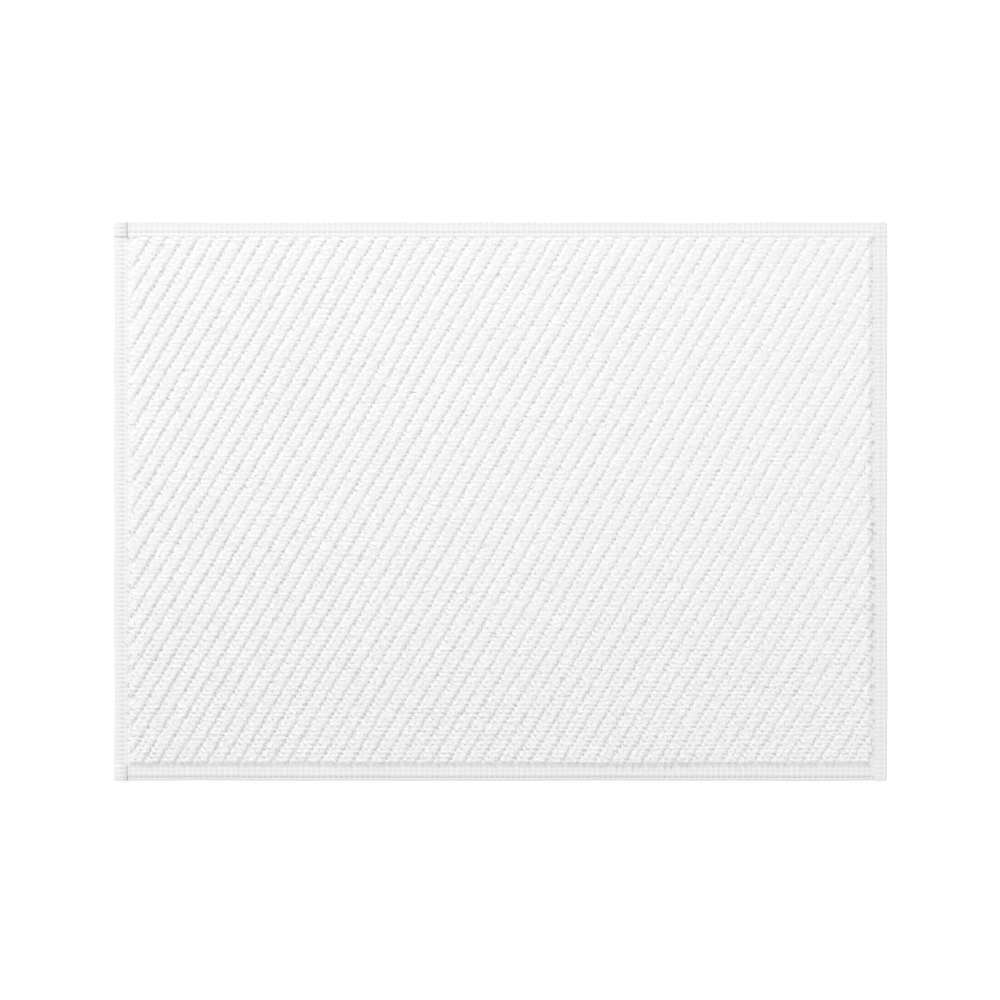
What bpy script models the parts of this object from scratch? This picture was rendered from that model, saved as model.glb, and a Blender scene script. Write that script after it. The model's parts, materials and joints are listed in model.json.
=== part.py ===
"""A woven terry bath mat: ground cloth, ribbed loop pile, four folded hems, their sewing
threads and a care label. Metres, +Z up. The mat lies face up with its underside at z = 0 and
its middle over the origin. +X runs along the long side, +Y along the short side."""

import math

import bmesh
import bpy

# Overall size of the mat
MAT_LENGTH = 0.700
MAT_WIDTH = 0.506
CORNER_RADIUS = 0.003

# Clearance left between two pieces that touch on the real mat
CLEARANCE = 0.0003

# Hems: the border cloth folded round the edge of the ground cloth
SIDE_HEM_WIDTH = 0.0127
TOP_HEM_WIDTH = 0.0150
BOTTOM_HEM_WIDTH = 0.0136
HEM_UNDER_LAYER = 0.0010
HEM_UPPER_LAYER = 0.0012
HEM_FOLD_WALL = 0.0014
FOLD_STEPS = 5

# Ground cloth under the pile, and the thinner edge that the hems fold round
GROUND_THICKNESS = 0.0022

# Loop pile: ribs two loop columns wide, with one low column between them
COLUMN_PITCH = 0.00484
ROW_PITCH = 0.00407
COLUMNS_PER_RIB = 3
RAISED_COLUMNS = 2
LOW_PILE_HEIGHT = 0.0018
RIB_HEIGHT = 0.0056
RIB_TOP_DIP = 0.0006
RIB_FLANK_LEAN = 0.0009
RIB_SHOULDER_DROP = 0.0011

# Strips of bare ground cloth between the pile and the hems
SIDE_VALLEY = 0.0024
END_VALLEY = 0.0009

# Lock-stitch seams: distance of each stitch line from the mat's edge
LEFT_SEAM_INSET = 0.0086
RIGHT_SEAM_INSET = 0.0050
TOP_SEAM_INSET = 0.0104
BOTTOM_SEAM_INSET = 0.0032
THREAD_DIAMETER = 0.0004
SEAM_END_INSET = 0.0040

# Care label under the upper left corner
LABEL_LENGTH = 0.045
LABEL_WIDTH = 0.020
LABEL_THICKNESS = 0.0003
LABEL_FROM_TOP = 0.060

# Derived sizes
FLANGE_THICKNESS = GROUND_THICKNESS - HEM_UNDER_LAYER - CLEARANCE
HEM_SLOT_TOP = GROUND_THICKNESS + CLEARANCE
HEM_THICKNESS = HEM_SLOT_TOP + HEM_UPPER_LAYER
PILE_BASE = GROUND_THICKNESS + CLEARANCE
THREAD_RADIUS = THREAD_DIAMETER / 2
CHANNEL_DEPTH = THREAD_DIAMETER + CLEARANCE
CHANNEL_HALF_WIDTH = THREAD_RADIUS + CLEARANCE
RIB_LEAN = math.atan2(ROW_PITCH, COLUMN_PITCH / 2)
RIB_PITCH = COLUMNS_PER_RIB * COLUMN_PITCH * math.sin(RIB_LEAN)
RIB_WIDTH = RIB_PITCH * RAISED_COLUMNS / COLUMNS_PER_RIB

# Finishes: colour, roughness
BORDER_WHITE = (0.88, 0.88, 0.88, 1.0)
PILE_WHITE = (0.90, 0.90, 0.90, 1.0)
GROUND_WHITE = (0.84, 0.84, 0.84, 1.0)
THREAD_WHITE = (0.80, 0.80, 0.80, 1.0)
LABEL_WHITE = (0.86, 0.85, 0.84, 1.0)
CLOTH_ROUGHNESS = 0.95
THREAD_ROUGHNESS = 0.75
LABEL_ROUGHNESS = 0.6


def clear_scene():
    """Remove what the scene holds at the start."""
    for obj in list(bpy.data.objects):
        bpy.data.objects.remove(obj, do_unlink=True)


def make_material(name, colour, roughness):
    """A plain Principled material."""
    material = bpy.data.materials.new(name)
    material.use_nodes = True
    shader = material.node_tree.nodes["Principled BSDF"]
    shader.inputs["Base Color"].default_value = colour
    shader.inputs["Roughness"].default_value = roughness
    shader.inputs["Metallic"].default_value = 0.0
    return material


def add_object(name, mesh, material):
    """Put a mesh into the scene as one named piece."""
    obj = bpy.data.objects.new(name, mesh)
    bpy.context.scene.collection.objects.link(obj)
    obj.data.materials.append(material)
    return obj


def mesh_from_bmesh(name, shape):
    """Turn a bmesh into a mesh with its faces pointing out."""
    bmesh.ops.recalc_face_normals(shape, faces=shape.faces)
    mesh = bpy.data.meshes.new(name)
    shape.to_mesh(mesh)
    shape.free()
    return mesh


def extrude_outline(name, outline, direction):
    """Extrude a closed outline of 3-D points along a vector, with capped ends."""
    shape = bmesh.new()
    corners = [shape.verts.new(point) for point in outline]
    cap = shape.faces.new(corners)
    grown = bmesh.ops.extrude_face_region(shape, geom=[cap], use_keep_orig=True)
    moved = [item for item in grown["geom"] if isinstance(item, bmesh.types.BMVert)]
    bmesh.ops.translate(shape, verts=moved, vec=direction)
    return mesh_from_bmesh(name, shape)


def box_mesh(name, low, high):
    """A box between two corners."""
    outline = [
        (low[0], low[1], low[2]),
        (high[0], low[1], low[2]),
        (high[0], high[1], low[2]),
        (low[0], high[1], low[2]),
    ]
    return extrude_outline(name, outline, (0, 0, high[2] - low[2]))


def boolean(obj, cutter, operation):
    """Add a live Boolean and keep its cutter as a hidden guide."""
    cutter.hide_render = True
    cutter.display_type = "WIRE"
    modifier = obj.modifiers.new(operation.title() + " " + cutter.name, "BOOLEAN")
    modifier.operation = operation
    modifier.solver = "EXACT"
    modifier.object = cutter


def rounded_outline(length, width, radius, height, steps=6):
    """Points of a rounded rectangle round the origin, at one height."""
    points = []
    for quarter in range(4):
        middle_x = (length / 2 - radius) * (1 if quarter in (0, 3) else -1)
        middle_y = (width / 2 - radius) * (1 if quarter in (0, 1) else -1)
        for step in range(steps + 1):
            angle = math.pi / 2 * (quarter + step / steps)
            x = middle_x + radius * math.cos(angle)
            y = middle_y + radius * math.sin(angle)
            points.append((x, y, height))
    return points


def build_ground_cloth(material):
    """The woven base. Its edge is thinner, so that the hems can fold round it."""
    flange_x = MAT_LENGTH / 2 - HEM_FOLD_WALL - CLEARANCE
    flange_y = MAT_WIDTH / 2 - HEM_FOLD_WALL - CLEARANCE
    step_x = MAT_LENGTH / 2 - SIDE_HEM_WIDTH - CLEARANCE
    step_top = MAT_WIDTH / 2 - TOP_HEM_WIDTH - CLEARANCE
    step_bottom = MAT_WIDTH / 2 - BOTTOM_HEM_WIDTH - CLEARANCE
    step_z = GROUND_THICKNESS - FLANGE_THICKNESS

    shape = bmesh.new()
    rings = []
    for low_x, low_y, high_x, high_y, z in (
        (-step_x, -step_bottom, step_x, step_top, 0.0),
        (-step_x, -step_bottom, step_x, step_top, step_z),
        (-flange_x, -flange_y, flange_x, flange_y, step_z),
        (-flange_x, -flange_y, flange_x, flange_y, GROUND_THICKNESS),
    ):
        corners = ((low_x, low_y), (high_x, low_y), (high_x, high_y), (low_x, high_y))
        rings.append([shape.verts.new((x, y, z)) for x, y in corners])
    shape.faces.new(reversed(rings[0]))
    shape.faces.new(rings[-1])
    for lower, upper in zip(rings, rings[1:]):
        for side in range(4):
            after = (side + 1) % 4
            shape.faces.new((lower[side], lower[after], upper[after], upper[side]))
    return add_object("ground_cloth", mesh_from_bmesh("ground_cloth", shape), material)


def rib_outline():
    """Points across all the ribs, from one side of the mat to the other, as (across, z).

    Each rib has two crests with a shallow dip between them. The low pile joins the ribs."""
    reach = math.hypot(MAT_LENGTH, MAT_WIDTH) / 2
    ribs_each_way = math.ceil(reach / RIB_PITCH) + 1
    foot = PILE_BASE + LOW_PILE_HEIGHT
    top = PILE_BASE + RIB_HEIGHT
    half = RIB_WIDTH / 2
    crest = half / 2
    profile = (
        (-half, foot),
        (-half + RIB_FLANK_LEAN, top - RIB_SHOULDER_DROP),
        (-crest, top),
        (0.0, top - RIB_TOP_DIP),
        (crest, top),
        (half - RIB_FLANK_LEAN, top - RIB_SHOULDER_DROP),
        (half, foot),
    )
    points = []
    for rib in range(-ribs_each_way, ribs_each_way + 1):
        middle = rib * RIB_PITCH
        points.extend((middle + across, z) for across, z in profile)
    last = points[-1][0]
    first = points[0][0]
    return points + [(last, PILE_BASE), (first, PILE_BASE)]


def build_loop_pile(material):
    """The ribbed pile: a long diagonal extrusion cut to the pile's rectangle."""
    along = (math.cos(RIB_LEAN), math.sin(RIB_LEAN))
    across = (math.sin(RIB_LEAN), -math.cos(RIB_LEAN))
    reach = math.hypot(MAT_LENGTH, MAT_WIDTH) / 2 + RIB_PITCH
    outline = []
    for distance, z in rib_outline():
        x = across[0] * distance - along[0] * reach
        y = across[1] * distance - along[1] * reach
        outline.append((x, y, z))
    run = (along[0] * 2 * reach, along[1] * 2 * reach, 0)
    pile = add_object("loop_pile", extrude_outline("loop_pile", outline, run), material)

    side = MAT_LENGTH / 2 - SIDE_HEM_WIDTH - SIDE_VALLEY
    upper = MAT_WIDTH / 2 - TOP_HEM_WIDTH - END_VALLEY
    lower = MAT_WIDTH / 2 - BOTTOM_HEM_WIDTH - END_VALLEY
    margin = RIB_HEIGHT
    field_low = (-side, -lower, PILE_BASE - margin)
    field_high = (side, upper, PILE_BASE + RIB_HEIGHT + margin)
    field = add_object("pile_field", box_mesh("pile_field", field_low, field_high), material)
    boolean(pile, field, "INTERSECT")
    return pile


def hem_section(width, seam_inset):
    """The folded hem's section, as (distance inwards from the mat's edge, z).

    It is a flat C that opens inwards. Both outer faces have a channel at the seam."""
    radius = HEM_THICKNESS / 2
    section = []
    for step in range(2 * FOLD_STEPS + 1):
        angle = math.pi / 2 + math.pi * step / (2 * FOLD_STEPS)
        inwards = radius + radius * math.cos(angle)
        section.append((inwards, radius + radius * math.sin(angle)))
    near = seam_inset - CHANNEL_HALF_WIDTH
    far = seam_inset + CHANNEL_HALF_WIDTH
    section += [
        (near, 0.0),
        (near, CHANNEL_DEPTH),
        (far, CHANNEL_DEPTH),
        (far, 0.0),
        (width, 0.0),
        (width, HEM_UNDER_LAYER),
        (HEM_FOLD_WALL, HEM_UNDER_LAYER),
        (HEM_FOLD_WALL, HEM_SLOT_TOP),
        (width, HEM_SLOT_TOP),
        (width, HEM_THICKNESS),
        (far, HEM_THICKNESS),
        (far, HEM_THICKNESS - CHANNEL_DEPTH),
        (near, HEM_THICKNESS - CHANNEL_DEPTH),
        (near, HEM_THICKNESS),
    ]
    return section


def round_corners(hem, material):
    """Trim a side hem's outer corners to the mat's corner radius."""
    points = rounded_outline(MAT_LENGTH, MAT_WIDTH, CORNER_RADIUS, -HEM_THICKNESS)
    name = hem.name + "_outline"
    mesh = extrude_outline(name, points, (0, 0, 3 * HEM_THICKNESS))
    boolean(hem, add_object(name, mesh, material), "INTERSECT")


def build_side_hem(name, sign, seam_inset, material):
    """A hem on a short side. It runs the mat's full width. sign is -1 left, +1 right."""
    edge = MAT_LENGTH / 2
    outline = []
    for inwards, z in hem_section(SIDE_HEM_WIDTH, seam_inset):
        outline.append((sign * (edge - inwards), -MAT_WIDTH / 2, z))
    hem = add_object(name, extrude_outline(name, outline, (0, MAT_WIDTH, 0)), material)
    round_corners(hem, material)
    return hem


def end_hem_reach():
    """Half the length of a top or bottom hem, which butts against the side hems."""
    return MAT_LENGTH / 2 - SIDE_HEM_WIDTH - CLEARANCE


def build_end_hem(name, sign, width, seam_inset, material):
    """A hem on a long side. sign is -1 bottom, +1 top."""
    edge = MAT_WIDTH / 2
    reach = end_hem_reach()
    outline = []
    for inwards, z in hem_section(width, seam_inset):
        outline.append((-reach, sign * (edge - inwards), z))
    mesh = extrude_outline(name, outline, (2 * reach, 0, 0))
    return add_object(name, mesh, material)


def build_thread(name, start, end, material):
    """A sewing thread lying in its channel, as a thin tube with closed ends."""
    curve = bpy.data.curves.new(name, "CURVE")
    curve.dimensions = "3D"
    curve.bevel_depth = THREAD_RADIUS
    curve.bevel_resolution = 1
    curve.use_fill_caps = True
    line = curve.splines.new("POLY")
    line.points.add(1)
    line.points[0].co = (*start, 1.0)
    line.points[1].co = (*end, 1.0)
    return add_object(name, curve, material)


def build_seam(hem_name, start, end, material):
    """The needle thread above and the bobbin thread below one hem's seam line."""
    upper_z = HEM_THICKNESS - THREAD_RADIUS
    lower_z = THREAD_RADIUS
    build_thread(hem_name + "_needle_thread", (*start, upper_z), (*end, upper_z), material)
    build_thread(hem_name + "_bobbin_thread", (*start, lower_z), (*end, lower_z), material)


def build_side_seam(hem_name, sign, seam_inset, material):
    """The seam of a side hem."""
    x = sign * (MAT_LENGTH / 2 - seam_inset)
    reach = MAT_WIDTH / 2 - SEAM_END_INSET
    build_seam(hem_name, (x, -reach), (x, reach), material)


def build_end_seam(hem_name, sign, seam_inset, material):
    """The seam of a top or bottom hem."""
    y = sign * (MAT_WIDTH / 2 - seam_inset)
    reach = end_hem_reach() - SEAM_END_INSET
    build_seam(hem_name, (-reach, y), (reach, y), material)


def build_care_label(ground, label_material, guide_material):
    """A blank label flat against the underside, in the hollow that it presses there."""
    left = -MAT_LENGTH / 2 + SIDE_HEM_WIDTH + 2 * CLEARANCE
    top = MAT_WIDTH / 2 - LABEL_FROM_TOP
    low = (left, top - LABEL_WIDTH, 0.0)
    high = (left + LABEL_LENGTH, top, LABEL_THICKNESS)
    mesh = box_mesh("care_label", low, high)
    add_object("care_label", mesh, label_material)

    hollow_low = (left - 2 * CLEARANCE, low[1] - CLEARANCE, -LABEL_THICKNESS)
    hollow_high = (high[0] + CLEARANCE, high[1] + CLEARANCE, LABEL_THICKNESS + CLEARANCE)
    hollow_mesh = box_mesh("label_hollow", hollow_low, hollow_high)
    hollow = add_object("label_hollow", hollow_mesh, guide_material)
    boolean(ground, hollow, "DIFFERENCE")


def build_mat():
    """Build every piece of the mat."""
    border = make_material("border_weave", BORDER_WHITE, CLOTH_ROUGHNESS)
    pile = make_material("loop_pile", PILE_WHITE, CLOTH_ROUGHNESS)
    ground = make_material("ground_weave", GROUND_WHITE, CLOTH_ROUGHNESS)
    thread = make_material("sewing_thread", THREAD_WHITE, THREAD_ROUGHNESS)
    label = make_material("label_tape", LABEL_WHITE, LABEL_ROUGHNESS)

    ground_cloth = build_ground_cloth(ground)
    build_loop_pile(pile)
    build_side_hem("left_hem", -1, LEFT_SEAM_INSET, border)
    build_side_hem("right_hem", 1, RIGHT_SEAM_INSET, border)
    build_end_hem("top_hem", 1, TOP_HEM_WIDTH, TOP_SEAM_INSET, border)
    build_end_hem("bottom_hem", -1, BOTTOM_HEM_WIDTH, BOTTOM_SEAM_INSET, border)
    build_side_seam("left_hem", -1, LEFT_SEAM_INSET, thread)
    build_side_seam("right_hem", 1, RIGHT_SEAM_INSET, thread)
    build_end_seam("top_hem", 1, TOP_SEAM_INSET, thread)
    build_end_seam("bottom_hem", -1, BOTTOM_SEAM_INSET, thread)
    build_care_label(ground_cloth, label, ground)


clear_scene()
build_mat()
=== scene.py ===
import json
import math

import bmesh
import bpy
from bpy.props import FloatProperty, FloatVectorProperty, IntProperty, PointerProperty
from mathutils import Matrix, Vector, noise

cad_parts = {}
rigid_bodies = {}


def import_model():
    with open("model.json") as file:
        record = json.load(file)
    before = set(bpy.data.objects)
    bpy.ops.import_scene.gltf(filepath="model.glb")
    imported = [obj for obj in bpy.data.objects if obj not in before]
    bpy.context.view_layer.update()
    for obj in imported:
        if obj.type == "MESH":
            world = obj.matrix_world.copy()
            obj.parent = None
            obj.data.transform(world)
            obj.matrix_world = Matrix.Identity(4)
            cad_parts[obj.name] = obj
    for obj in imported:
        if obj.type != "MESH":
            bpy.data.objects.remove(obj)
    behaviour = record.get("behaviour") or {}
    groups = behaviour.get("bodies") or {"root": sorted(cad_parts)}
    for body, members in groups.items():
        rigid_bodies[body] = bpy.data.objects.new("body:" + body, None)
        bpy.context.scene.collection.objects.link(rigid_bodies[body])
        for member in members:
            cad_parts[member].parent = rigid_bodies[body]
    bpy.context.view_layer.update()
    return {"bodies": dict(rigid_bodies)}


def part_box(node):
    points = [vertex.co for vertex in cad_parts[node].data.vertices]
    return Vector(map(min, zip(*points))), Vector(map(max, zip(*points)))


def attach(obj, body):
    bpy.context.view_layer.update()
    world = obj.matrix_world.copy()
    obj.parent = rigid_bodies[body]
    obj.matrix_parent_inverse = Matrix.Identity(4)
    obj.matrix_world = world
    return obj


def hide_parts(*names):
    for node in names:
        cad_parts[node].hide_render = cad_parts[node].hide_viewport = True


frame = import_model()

bl_info = {
    "name": "Ribbed Terry Bath Mat",
    "version": (1, 0, 0),
    "blender": (4, 5, 0),
    "location": "3D View > Sidebar > Bath Mat",
    "description": "Weaves, hems and sews a ribbed cotton bath mat round its measured frame",
    "category": "Object",
}

BODY = next(iter(frame["bodies"]))
TURN = 2 * math.pi

GROUND_LOW, GROUND_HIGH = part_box("ground_cloth")
LABEL_LOW, LABEL_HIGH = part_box("care_label")
HEMS = ("left", "right", "top", "bottom")
# The open field between the hems, and the gap that the frame leaves between pieces
FIELD_LOW = Vector((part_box("left_hem")[1].x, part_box("bottom_hem")[1].y, 0))
FIELD_HIGH = Vector((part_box("right_hem")[0].x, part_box("top_hem")[0].y, 0))
GAP = 0.0003

# The pile: its grid, its curls, and how much steeper it rises from the bottom and top hems
BED_STEP = (0.00121, 0.00102)
BED_FOOT = 0.00005
CURL_CHANCE = 0.7
CURL_SOFTNESS = 0.35
BOTTOM_STEEPNESS = 1.25
TOP_STEEPNESS = 3.9

# The loops: their tubes, the least share of the slope that carries one, and their random draws
LOOP_STEPS = 4
LOOP_SIDES = 4
LOOP_SLOPE = 0.35
LOOP_BASE_SHARE = 0.6
LOOP_TIP = (0.15, 0.15, 0.6)
LOOP_TURN_BOTTOM = 0.35
LOOP_SCALE = ((0.88, 0.88, 0.8), (1.12, 1.12, 1.0))
# Each loop is two yarns. Each yarn: its place beside the row's line and its splay (metres),
# its share of the full height and reach, and its shift along the row (metres)
LOOP_SHAPES = (
    ((-0.00100, 0.0004, 1.00, 1.00, -0.0007), (0.00105, -0.0003, 0.85, 0.95, 0.0008)),
    ((-0.00095, -0.0005, 0.86, 1.00, 0.0007), (0.00105, 0.0004, 1.00, 0.90, -0.0008)),
    ((-0.00105, 0.0006, 0.95, 0.90, -0.0004), (0.00095, 0.0007, 0.80, 1.05, 0.0003)),
)

# The ground cloth: its thickness inside the hems, and how softly it rises round the label
EDGE_THICKNESS = 0.0009
LABEL_EASE = 0.003

# The hems: how far the end hems reach towards the side hems, the square where two hems cross,
# and the rounding of their ends, and the widths of the painted shade at the left hem's ends and along the
# outer fold
HEM_REACH = 0.95 * GAP
HEM_TOP_STEPS = 18
HEM_TURN_STEPS = 7
HEM_UNDER_STEPS = 6
END_STATIONS = (0.0, 0.00015, 0.0004, 0.0008, 0.0013, 0.0019, 0.0026)
CORD_LEAST = 0.25
FOLD_SHADE_WIDTH = 0.0018
CORD_STEPS = 6
CORD_SHARPNESS = 2.5
SEAM_WIDTH = 0.0009
HEM_ROUGH = 0.0003
PATCH_LENGTH = 0.0150
PATCH_SLOPE = 0.0018
END_ROUNDING = 0.0022
END_THICKNESS = 0.35
SHADE_WIDTH = 0.0030
WARM_COTTON = (1.0, 0.975, 0.985)
PAINTED_CORNER_SHADE = (0.82, 0.82, 0.82)

# The stage
WINDOW_PLACE = (-1.2, 3.3, 2.85)
WINDOW_SIZE = 2.4
CAMERA_PLACE = (-0.00045, 0.0009)
CAMERA_LENS = 100
CAMERA_SENSOR = 36


# ---------------------------------------------------------------- settings


def length(name, description, default, **limits):
    """A size in metres."""
    return FloatProperty(
        name=name, description=description, default=default, unit="LENGTH", precision=5, **limits
    )


def colour(name, description, default):
    """A linear colour."""
    return FloatVectorProperty(
        name=name, description=description, default=default, subtype="COLOR", min=0, max=1
    )


class BathMatPile(bpy.types.PropertyGroup):
    column_pitch: length("Column Pitch", "Distance between loop columns", 0.00484)
    row_pitch: length("Row Pitch", "Distance between loop rows", 0.00407)
    columns_per_rib: IntProperty(
        name="Columns per Rib", description="Loop columns from one rib to the next", default=3
    )
    raised_columns: IntProperty(
        name="Raised Columns", description="Columns of each rib with tall loops", default=2
    )
    yarn_radius: length("Yarn Radius", "Half the thickness of one pile yarn", 0.00095)
    loop_reach: length("Loop Reach", "Reach of a loop's shoulders along its row", 0.0040)
    loop_splay: length("Loop Splay", "How far loops lean out over the grooves", 0.0008)
    loop_turn: FloatProperty(
        name="Loop Turn", description="Turn of the loops from their row", default=-1.03, unit="ROTATION"
    )
    stand: length("Stand", "How far the tallest loops stand out of the packed pile", 0.0004)
    matting: length("Matting", "How much lower the loops lie towards the top", 0.0001)
    bed_height: length("Bed Height", "Height of the packed lower pile in a rib", 0.0052)
    bed_rough: length("Bed Roughness", "Unevenness of the packed pile", 0.0010)
    edge_height: length("Edge Height", "Height of the pile against the hems", 0.0014)
    top_edge_height: length("Top Edge Height", "The same against the top hem", 0.0043)
    overhang: length("Overhang", "How far the pile leans out over the hems", 0.0005)
    edge_slope: length("Edge Slope", "Width of the slope up from the hems", 0.0062)
    groove_left: length("Groove Height, Left", "Height of the grooves at the left", 0.0035)
    groove_right: length("Groove Height, Right", "Height of the grooves at the right", 0.0043)
    groove_width: length("Groove Width", "Width of a groove's floor", 0.0008)
    flank_width: length("Flank Width", "Width of a rib's sloping side", 0.0026)
    lean_width: length("Lean Width", "Width of a rib's gentler side, far right", 0.0034)
    groove_stray: length("Groove Stray", "How far a groove's sides wander", 0.0020)
    dip_top: length("Row Dip, Top", "How far the pile dips between rows at the top", 0.0002)
    dip_bottom: length("Row Dip, Bottom", "The same at the bottom", 0.0006)
    curl_size: length("Curl Size", "Distance between the curls of packed yarn", 0.0033)
    curl_height: length("Curl Height", "Height of the curls of packed yarn", 0.0005)
    # Painted shade: how much darker the colour is between the curls
    curl_shade: FloatProperty(
        name="Curl Shade", description="How much deeper in tone it is between curls", default=0.5
    )
    crossing_dip: FloatProperty(
        name="Crossing Dip", description="Dip between crossing lines, as a share of the rows'", default=1.0
    )
    jitter: length("Jitter", "How far a loop strays from its place", 0.00035)
    drift: length("Drift", "How far the weave bows over the mat", 0.0016)
    rib_shift: length("Rib Shift", "Shift of the ribs from the mat's middle", 0.0)
    row_shift: length("Row Shift", "Shift of the rows from the mat's middle", -0.00135)
    seed: IntProperty(name="Seed", description="Seed of every random draw", default=7)
    bands: IntProperty(name="Bands", description="Pieces that the pile is made in", default=9)
    tint: colour("Yarn Colour", "Colour of the bleached cotton pile", (0.902, 0.902, 0.902))


class BathMatGround(bpy.types.PropertyGroup):
    relief: length("Weave Relief", "Height of the weave's bumps underneath", 0.00022)
    label_hollow: length("Label Hollow", "How far the cloth gives way to the label", 0.0006)
    tint: colour("Ground Colour", "Colour of the woven ground", (0.86, 0.86, 0.86))


class BathMatHems(bpy.types.PropertyGroup):
    side_cord_pitch: length("Side Cord Pitch", "Distance between cords, side hems", 0.00407)
    end_cord_pitch: length("End Cord Pitch", "Distance between cords, end hems", 0.00488)
    layer: length("Layer", "Thickness of one folded layer", 0.0011)
    wander: length("Wander", "How far the edge strays from straight", 0.0004)
    corner_rise: length("Corner Rise", "Extra height where hems cross", 0.0011)
    corner_radius: length("Corner Radius", "Radius of the mat's corners", 0.003)
    tint: colour("Border Colour", "Colour of the flat woven border", (0.865, 0.865, 0.865))


class BathMatSeams(bpy.types.PropertyGroup):
    thread_radius: length("Thread Radius", "Half the thickness of the thread", 0.00022)
    dip: length("Dip", "How deep a stitch goes into the cloth", 0.0008)
    tint: colour("Thread Colour", "Colour of the sewing thread", (0.80, 0.80, 0.80))


class BathMatLabel(bpy.types.PropertyGroup):
    ripple: length("Ripple", "Height of the label's waves", 0.00012)
    tint: colour("Label Colour", "Colour of the blank tape", (0.88, 0.86, 0.85))


class BathMatStage(bpy.types.PropertyGroup):
    view_width: length("View Width", "Width that the camera sees at the mat", 0.9055)
    floor_size: length("Floor Size", "Side of the floor", 6.0)
    sky: FloatProperty(name="Sky", description="Strength of the even light", default=0.79)
    key: FloatProperty(name="Key", description="Strength of the window light", default=87.0)


SETTINGS = {
    "bath_mat_pile": BathMatPile,
    "bath_mat_ground": BathMatGround,
    "bath_mat_hems": BathMatHems,
    "bath_mat_seams": BathMatSeams,
    "bath_mat_label": BathMatLabel,
    "bath_mat_stage": BathMatStage,
}


# ---------------------------------------------------------------- node graphs


class Graph:
    """Adds nodes to one tree, feeding each input a value or another node's output."""

    def __init__(self, tree):
        self.tree = tree

    def feed(self, socket, value):
        if isinstance(value, bpy.types.NodeSocket):
            self.tree.links.new(value, socket)
        else:
            socket.default_value = value

    def node(self, kind, inputs=None, **settings):
        made = self.tree.nodes.new(kind)
        for key, value in settings.items():
            setattr(made, key, value)
        for name, value in (inputs or {}).items():
            socket = next(s for s in made.inputs if s.enabled and s.name == name)
            self.feed(socket, value)
        return made

    def out(self, kind, inputs=None, **settings):
        """The first open output of a new node."""
        made = self.node(kind, inputs, **settings)
        return next(s for s in made.outputs if s.enabled)

    def math(self, operation, *values):
        made = self.tree.nodes.new("ShaderNodeMath")
        made.operation = operation
        for socket, value in zip(made.inputs, values):
            self.feed(socket, value)
        return made.outputs[0]

    def minus(self, value, other):
        return self.math("SUBTRACT", value, other)

    def over(self, value, other):
        return self.math("DIVIDE", value, other)

    def add(self, *values):
        total = values[0]
        for value in values[1:]:
            total = self.math("ADD", total, value)
        return total

    def times(self, *values):
        total = values[0]
        for value in values[1:]:
            total = self.math("MULTIPLY", total, value)
        return total

    def vector(self, x=0.0, y=0.0, z=0.0):
        return self.out("ShaderNodeCombineXYZ", {"X": x, "Y": y, "Z": z})

    def split(self, value):
        return self.node("ShaderNodeSeparateXYZ", {"Vector": value}).outputs

    def keep(self, geometry, name, value, kind="FLOAT", domain="POINT"):
        """Store a value on the geometry under a name."""
        return self.out(
            "GeometryNodeStoreNamedAttribute",
            {"Geometry": geometry, "Name": name, "Value": value},
            data_type=kind,
            domain=domain,
        )

    def attribute(self, name):
        return self.out("GeometryNodeInputNamedAttribute", {"Name": name}, data_type="FLOAT")

    def random(self, low, high, seed, kind="FLOAT"):
        return self.out(
            "FunctionNodeRandomValue", {"Min": low, "Max": high, "Seed": seed}, data_type=kind
        )

    def mix(self, start, end, share):
        return self.math("MULTIPLY_ADD", self.math("SUBTRACT", end, start), share, start)

    def noise(self, place, scale, detail, output="Fac"):
        """Soft random values over a field of places."""
        inputs = {"Vector": place, "Scale": scale, "Detail": detail}
        return self.node("ShaderNodeTexNoise", inputs).outputs[output]

    def moved(self, place, direction, distance):
        """A place moved a distance in a direction."""
        step = self.node("ShaderNodeVectorMath", operation="SCALE")
        self.feed(step.inputs[0], direction)
        self.feed(step.inputs["Scale"], distance)
        both = self.node("ShaderNodeVectorMath", operation="ADD")
        self.feed(both.inputs[0], place)
        self.feed(both.inputs[1], step.outputs[0])
        return both.outputs[0]

    def bell(self, distance, width):
        """1 where distance is 0, falling away smoothly over width."""
        share = self.math("DIVIDE", distance, width)
        return self.math("EXPONENT", self.times(share, share, -1.0))

    def ridges(self, along, pitch):
        """1 on each cord's crest and 0 in each valley."""
        wave = self.math("COSINE", self.times(self.math("DIVIDE", along, pitch), TURN))
        return self.math("MULTIPLY_ADD", wave, 0.5, 0.5)


def geometry_graph(name, sockets):
    """A Geometry Nodes tree with named inputs. Gives its graph and the inputs' sockets."""
    tree = bpy.data.node_groups.new(name, "GeometryNodeTree")
    tree.interface.new_socket("Geometry", in_out="INPUT", socket_type="NodeSocketGeometry")
    for title, kind in sockets.items():
        tree.interface.new_socket(title, in_out="INPUT", socket_type="NodeSocket" + kind)
    tree.interface.new_socket("Geometry", in_out="OUTPUT", socket_type="NodeSocketGeometry")
    graph = Graph(tree)
    source = tree.nodes.new("NodeGroupInput")
    return graph, {socket.name: socket for socket in source.outputs if socket.name}


def close_graph(graph, geometry, material):
    """Realise the instances, shade them smooth, give the material and end the tree."""
    real = graph.out("GeometryNodeRealizeInstances", {"Geometry": geometry})
    smooth = graph.out("GeometryNodeSetShadeSmooth", {"Geometry": real})
    finished = graph.out("GeometryNodeSetMaterial", {"Geometry": smooth, "Material": material})
    end = graph.tree.nodes.new("NodeGroupOutput")
    graph.feed(end.inputs[0], finished)


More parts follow.
